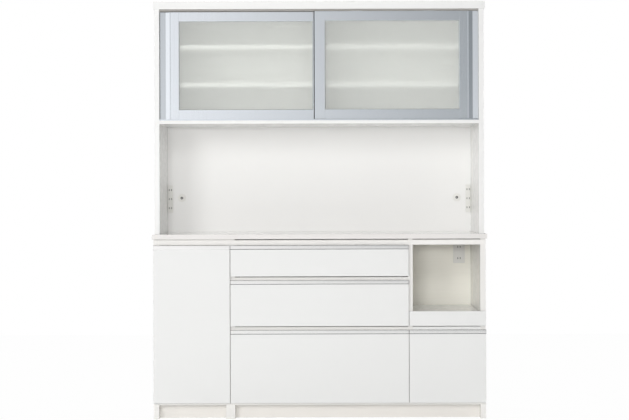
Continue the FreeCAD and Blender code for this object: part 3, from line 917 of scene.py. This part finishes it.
def front_screws(drawer):
    """Screws through the box into the front."""
    low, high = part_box(drawer + "_box")
    columns = [low.x + BOX_SIDE_INSET, high.x - BOX_SIDE_INSET]
    if high.x - low.x > WIDE_BOX:
        columns.append((low.x + high.x) / 2)
    rows = (low.z + BOX_LOW_INSET, high.z - BOX_HIGH_INSET)
    places = [((x, low.y + BOX_WALL, z), BACKWARD) for x in columns for z in rows]
    screws(drawer + "_front_screws", places, drawer, *FRONT_SCREW)


def bracket_screws():
    """Two screws in each pivot bracket."""
    places = []
    for low, high in spans_of("pivot_brackets"):
        upper = high.z > BRACKET_MIDDLE
        first = low.z + BRACKET_INSET if upper else high.z - BRACKET_INSET
        step = BRACKET_STEP if upper else -BRACKET_STEP
        for z in (first, first + step):
            places.append(((high.x - BRACKET_SIDE, high.y - BRACKET_SHEET, z), FORWARD))
    screws("pivot_bracket_screws", places, "cabinet", *BRACKET_SCREW)


class CUPBOARD_OT_ironwork(bpy.types.Operator):
    """Build the runners, pivot brackets and shelf clips, with the screws that hold them"""
    bl_idname = "cupboard.ironwork"
    bl_label = "Runners, brackets and screws"

    def execute(self, context):
        thin = sizes().sheet_ease
        for node in ("fixed_runners", "pivot_brackets", "shelf_clips"):
            ease_node(node, thin, "zinc_plate")
        for pull_out in PULL_OUTS:
            for part in ("_middle_runners", "_inner_runners"):
                ease_node(pull_out + part, thin, "zinc_plate")
            runner_screws(pull_out)
        for drawer in DRAWERS:
            front_screws(drawer)
        bracket_screws()
        return {"FINISHED"}


# Sockets and glands, as in their solids
BLADE_SPACING = 0.0120
STRIP_PITCH = 0.0460
PLATE_PITCH = 0.0580
MEMBRANE_RADIUS = 0.0069
NARROW_OUTLET = 0.04
NARROW_SOCKETS = 3
WIDE_SOCKETS = 2
BEZEL_FOOT = 0.0002
BEZEL_EASE = 0.0003
CONTACT_SETBACK = 0.0055
CONTACT_DEPTH = 0.0045
PETAL_STEPS = 4
PETAL_GAP = 0.04
MEMBRANE_THICKNESS = 0.0015


def socket_bezel(x, face, z):
    """A raised ring around one socket."""
    size = sizes()
    half = Vector((size.bezel_width / 2, 0.0, size.bezel_height / 2))
    low = Vector((x, 0.0, z)) - half
    high = Vector((x, 0.0, z)) + half
    foot = face + BEZEL_FOOT
    crown = face - size.bezel_rise
    solid = ring_solid([
        rectangle(low, high, 0.0, foot),
        rectangle(low, high, 0.0, crown),
        rectangle(low, high, size.bezel_wall, crown),
        rectangle(low, high, size.bezel_wall, foot),
    ])
    ease(solid, BEZEL_EASE)
    return solid


def gland_petals(centre):
    """The petals of a gland's membrane."""
    size = sizes()
    turn = 2 * math.pi / size.membrane_petals
    made = []
    for petal in range(size.membrane_petals):
        start = petal * turn
        middle = start + turn / 2
        outline = [centre + Vector((math.cos(middle), 0.0, math.sin(middle))) * size.membrane_slit]
        for step in range(PETAL_STEPS + 1):
            angle = start + PETAL_GAP + (turn - 2 * PETAL_GAP) * step / PETAL_STEPS
            outline.append(centre + Vector((math.cos(angle), 0.0, math.sin(angle))) * MEMBRANE_RADIUS)
        made.append(extruded(outline, (0.0, MEMBRANE_THICKNESS, 0.0)))
    return made


def dress_outlets():
    """The plates, with a bezel and two contacts for each socket."""
    size = sizes()
    solids = solids_of("outlets")
    bezels = []
    contacts = []
    for solid in solids:
        low, high = span(solid)
        centre = (low + high) / 2
        narrow = high.x - low.x < NARROW_OUTLET
        count = NARROW_SOCKETS if narrow else WIDE_SOCKETS
        pitch = STRIP_PITCH if narrow else PLATE_PITCH
        for socket in range(count):
            z = centre.z + (socket - (count - 1) / 2) * pitch
            bezels.append(socket_bezel(centre.x, low.y, z))
            for side in (-1, 1):
                x = centre.x + side * BLADE_SPACING / 2
                contacts.append(((x, low.y + CONTACT_SETBACK, z), FORWARD))
        ease(solid, size.mould_ease)
    add_solids("outlet_plates", solids, "cabinet", "moulded_plastic", ["outlets"])
    add_solids("outlet_bezels", bezels, "cabinet", "moulded_plastic")
    values = {
        "Contact Size": (size.blade_width, size.blade_height, CONTACT_DEPTH),
        "Contact Depth": CONTACT_DEPTH,
    }
    # The contacts take the painted shade of the slots' insides.
    repeat_piece("outlet_contacts", socket_contacts, values, contacts, "cabinet", "dark_gap")


class CUPBOARD_OT_outlets(bpy.types.Operator):
    """Build the mains outlets with their sockets, and the cord glands with their membranes"""
    bl_idname = "cupboard.outlets"
    bl_label = "Outlets and glands"

    def execute(self, context):
        dress_outlets()
        ease_node("cord_glands", sizes().sheet_ease, "moulded_plastic")
        petals = []
        for low, high in spans_of("cord_glands"):
            centre = (low + high) / 2
            petals.extend(gland_petals(Vector((centre.x, high.y - MEMBRANE_THICKNESS, centre.z))))
        # The membranes are dark with the painted shade of the cord holes behind them.
        add_solids("gland_membranes", petals, "cabinet", "dark_gap")
        return {"FINISHED"}


# Small fittings; a stud is its foot radius, crown radius and height
BACK_MARGIN = 0.012
PIN_ROWS = (-0.020, 0.160)
PIN_START = 0.08
PIN_MARGIN = 0.14
PIN_LIFT = 0.0001
PIN_DISC = 0.0002
CUPBOARD_PINS = (0.10, 0.80)
CONNECTOR_CAP = (0.0085, 0.0072, 0.0014)
CONNECTOR_ROWS = (-0.185, 0.200)
CONNECTOR_HEIGHTS = (0.20, 0.46, 0.72)
BUMPER = (0.0050, 0.0036, 0.0024)
BUMPER_INSET = 0.03
BUMPER_BOARDS = {
    "top_drawer_front": "drawer_inner_side",
    "middle_drawer_front": "drawer_inner_side",
    "deep_drawer_front": "drawer_inner_side",
    "right_drawer_front": "base_side_right",
    "tall_door_panel": "cupboard_inner_side",
}


def spaced(low, high):
    """Evenly spaced places between two edges, with both ends."""
    count = max(2, round((high - low) / sizes().back_screw_pitch))
    reach = high - low - 2 * BACK_MARGIN
    return [low + BACK_MARGIN + order / count * reach for order in range(count + 1)]


def back_rim(low, high):
    """Places along the rim of a back panel, on its rear face."""
    columns = spaced(low.x, high.x)
    rows = spaced(low.z, high.z)
    spots = [(x, z) for z in (rows[0], rows[-1]) for x in columns]
    spots += [(x, z) for x in (columns[0], columns[-1]) for z in rows[1:-1]]
    return [((x, high.y, z), BACKWARD) for x, z in spots]


def pin_holes():
    """Rows of shelf pin holes on the walls that face a shelf, each drawn as a flat disc of painted shade."""
    size = sizes()
    upper = (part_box("upper_floor")[1].z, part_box("top_panel")[0].z)
    partition_low, partition_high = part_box("upper_partition")
    walls = [
        (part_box("upper_side_left")[1].x, 1, upper),
        (partition_low.x, -1, upper),
        (partition_high.x, 1, upper),
        (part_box("upper_side_right")[0].x, -1, upper),
        (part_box("base_side_left")[1].x, 1, CUPBOARD_PINS),
        (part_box("cupboard_inner_side")[0].x, -1, CUPBOARD_PINS),
    ]
    holes = []
    for x, way, (bottom, top) in walls:
        count = int((top - bottom - PIN_MARGIN) / size.pin_pitch)
        for y in PIN_ROWS:
            for order in range(count):
                z = bottom + PIN_START + order * size.pin_pitch
                holes.append(((x + way * PIN_LIFT, y, z), RIGHT if way > 0 else LEFT))
    # Each pin hole is a thin dark disc of painted shade just off the wall.
    studs("pin_holes", holes, size.pin_radius, size.pin_radius, PIN_DISC, "dark_gap")


class CUPBOARD_OT_fittings(bpy.types.Operator):
    """Build the small fittings: back screws, discs of painted shade for the pin holes, connector caps and
    bumpers
    """
    bl_idname = "cupboard.fittings"
    bl_label = "Small fittings"

    def execute(self, context):
        places = []
        for node in ("base_backs", "upper_back"):
            for low, high in spans_of(node):
                places.extend(back_rim(low, high))
        screws("back_screws", places, "cabinet", *BACK_SCREW)
        pin_holes()
        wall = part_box("cupboard_inner_side")[0].x
        caps = [((wall, y, z), LEFT) for y in CONNECTOR_ROWS for z in CONNECTOR_HEIGHTS]
        studs("connector_caps", caps, *CONNECTOR_CAP, "moulded_plastic")
        edge_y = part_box("drawer_inner_side")[0].y
        spots = []
        for owner, board in BUMPER_BOARDS.items():
            low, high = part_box(owner)
            for z in (low.z + BUMPER_INSET, high.z - BUMPER_INSET):
                spots.append(((middle_x(board), edge_y, z), FORWARD))
        studs("bumpers", spots, *BUMPER, "nylon")
        return {"FINISHED"}


# Studio: each lamp has a place, a width, a height and a power setting
LAMPS = {
    "key": ((-3.2, -6.5, 2.2), 2.0, 1.4, "key_power"),
    "fill": ((-0.4, -7.0, 1.3), 2.0, 0.8, "fill_power"),
    "high": ((0.0, -6.5, 3.4), 2.4, 1.0, "high_power"),
    "rear_left": ((-4.0, 3.5, 4.6), 2.0, 2.0, "rear_power"),
    "rear_right": ((4.0, 3.5, 4.6), 2.0, 2.0, "rear_power"),
}
LAMP_AIM = Vector((0.0, -0.2, 1.0))
FLOOR_CORNERS = ((-6, -4, 0), (6, -4, 0), (6, 4, 0), (-6, 4, 0))
FLOOR_COLOUR = (0.93, 0.93, 0.925, 1.0)
FLOOR_ROUGHNESS = 0.8
FLOOR_GLOW = 0.97
AMBIENT_COLOUR = (0.98, 0.99, 1.0, 1.0)
SHEEN_LEFT = (1.10, 1.08, 1.09, 1.0)
SHEEN_RIGHT = (0.29, 0.30, 0.31, 1.0)
SHEEN_SPAN = (-0.10, 0.14)
SHEEN_BEND = 0.8
GROUND_COLOUR = (0.94, 0.94, 0.94, 1.0)
GROUND_SPAN = (0.01, -0.09)
FADE_SPAN = (-0.05, 0.75)
FADE_STRENGTH = (1.0, 0.20)
BOUNCE_LIMIT = 0.5
SENSOR_WIDTH = 36.0
FAR_CLIP = 60.0


def add_lamp(name, place, width, height, power):
    """A soft lamp that looks at the cupboard and stays out of its reflections."""
    light = bpy.data.lights.new(name, "AREA")
    light.shape = "RECTANGLE"
    light.size = width
    light.size_y = height
    light.energy = power
    holder = new_object(name, light)
    holder.visible_glossy = False
    holder.visible_transmission = False
    holder.location = place
    holder.rotation_euler = (LAMP_AIM - Vector(place)).to_track_quat("-Z", "Y").to_euler()


def add_floor():
    """A pale floor that keeps a soft shadow."""
    mesh = bpy.data.meshes.new("studio_floor")
    mesh.from_pydata(FLOOR_CORNERS, [], [(0, 1, 2, 3)])
    ground = new_object("studio_floor", mesh)
    material = bpy.data.materials.new("studio_floor")
    material.use_nodes = True
    tree = material.node_tree
    principled = tree.nodes["Principled BSDF"]
    principled.inputs["Base Color"].default_value = FLOOR_COLOUR
    principled.inputs["Roughness"].default_value = FLOOR_ROUGHNESS
    glow = add_node(tree, "ShaderNodeEmission", {"Strength": 1.0})
    path = add_node(tree, "ShaderNodeLightPath")
    share = reckon(tree, "MULTIPLY", path.outputs["Is Camera Ray"], FLOOR_GLOW)
    shown = mix_shaders(tree, share, principled.outputs["BSDF"], glow.outputs["Emission"])
    tree.links.new(shown, tree.nodes["Material Output"].inputs["Surface"])
    mesh.materials.append(material)


def sky(tree, colour, strength):
    """One kind of surrounding light."""
    node = add_node(tree, "ShaderNodeBackground", {"Color": colour, "Strength": strength})
    return node.outputs["Background"]


def surroundings():
    """White where the camera looks, brighter on the left in reflections, dim as light."""
    world = bpy.data.worlds.new("studio_world")
    world.use_nodes = True
    bpy.context.scene.world = world
    tree = world.node_tree
    tree.nodes.clear()
    path = add_node(tree, "ShaderNodeLightPath").outputs
    place = add_node(tree, "ShaderNodeTexCoord").outputs["Generated"]
    way = add_node(tree, "ShaderNodeSeparateXYZ", {"Vector": place}).outputs
    across = reckon(tree, "POWER", ramp(tree, way["X"], *SHEEN_SPAN), SHEEN_BEND)
    sheen = blend(tree, across, SHEEN_LEFT, SHEEN_RIGHT)
    ground = blend(tree, ramp(tree, way["Z"], *GROUND_SPAN), sheen, GROUND_COLOUR)
    fade = ramp(tree, way["Z"], *FADE_SPAN, *FADE_STRENGTH, interpolation_type="SMOOTHSTEP")
    ambient = sky(tree, AMBIENT_COLOUR, studio().ambient)
    glossy = sky(tree, ground, fade)
    white = sky(tree, WHITE, 1.0)
    lit = mix_shaders(tree, path["Is Glossy Ray"], ambient, glossy)
    direct = reckon(tree, "LESS_THAN", path["Diffuse Depth"], BOUNCE_LIMIT)
    through = reckon(tree, "MULTIPLY", path["Is Transmission Ray"], direct)
    clear = reckon(tree, "MAXIMUM", path["Is Camera Ray"], through)
    shown = mix_shaders(tree, clear, lit, white)
    add_node(tree, "ShaderNodeOutputWorld", {"Surface": shown})


def add_camera():
    """The camera, at the photograph's viewing angle."""
    setting = studio()
    view = bpy.data.cameras.new("photo_camera")
    view.lens = setting.lens
    view.sensor_width = SENSOR_WIDTH
    view.shift_x = setting.shift_x
    view.shift_y = setting.shift_y
    view.clip_end = FAR_CLIP
    camera = new_object("photo_camera", view)
    camera.location = (0.0, -setting.camera_distance, setting.camera_height)
    camera.rotation_euler = (math.pi / 2, setting.camera_roll, 0.0)
    bpy.context.scene.camera = camera


class CUPBOARD_OT_stage(bpy.types.Operator):
    """Set the floor, the lamps, the surrounding light and the camera"""
    bl_idname = "cupboard.stage"
    bl_label = "Studio"

    def execute(self, context):
        add_floor()
        surroundings()
        for name, (place, width, height, power) in LAMPS.items():
            add_lamp(name, place, width, height, getattr(studio(), power))
        add_camera()
        context.scene.view_settings.view_transform = "Standard"
        return {"FINISHED"}


class CUPBOARD_PT_sidebar(bpy.types.Panel):
    """The cupboard's steps and settings"""
    bl_label = "Kitchen cupboard"
    bl_idname = "CUPBOARD_PT_sidebar"
    bl_space_type = "VIEW_3D"
    bl_region_type = "UI"
    bl_category = "Cupboard"

    def draw(self, context):
        column = self.layout.column()
        for step in STEPS:
            column.operator(step.bl_idname)
        for group in (colours(), sizes(), studio()):
            for setting in group.bl_rna.properties:
                if setting.identifier not in ("rna_type", "name"):
                    column.prop(group, setting.identifier)


STEPS = (
    CUPBOARD_OT_boards,
    CUPBOARD_OT_fronts,
    CUPBOARD_OT_pulls,
    CUPBOARD_OT_glass_doors,
    CUPBOARD_OT_ironwork,
    CUPBOARD_OT_outlets,
    CUPBOARD_OT_fittings,
    CUPBOARD_OT_stage,
)
CLASSES = (CupboardColours, CupboardSizes, CupboardStudio) + STEPS + (CUPBOARD_PT_sidebar,)


def register():
    """Add the classes and the scene's settings."""
    for item in CLASSES:
        bpy.utils.register_class(item)
    bpy.types.Scene.cupboard_colours = PointerProperty(type=CupboardColours)
    bpy.types.Scene.cupboard_sizes = PointerProperty(type=CupboardSizes)
    bpy.types.Scene.cupboard_studio = PointerProperty(type=CupboardStudio)


def unregister():
    """Take the settings and the classes away again."""
    del bpy.types.Scene.cupboard_studio
    del bpy.types.Scene.cupboard_sizes
    del bpy.types.Scene.cupboard_colours
    for item in reversed(CLASSES):
        bpy.utils.unregister_class(item)


def main():
    """Dress the cupboard."""
    register()
    bpy.ops.cupboard.boards()
    bpy.ops.cupboard.fronts()
    bpy.ops.cupboard.pulls()
    bpy.ops.cupboard.glass_doors()
    bpy.ops.cupboard.ironwork()
    bpy.ops.cupboard.outlets()
    bpy.ops.cupboard.fittings()
    bpy.ops.cupboard.stage()
    bpy.context.view_layer.update()


if __name__ == "__main__":
    main()
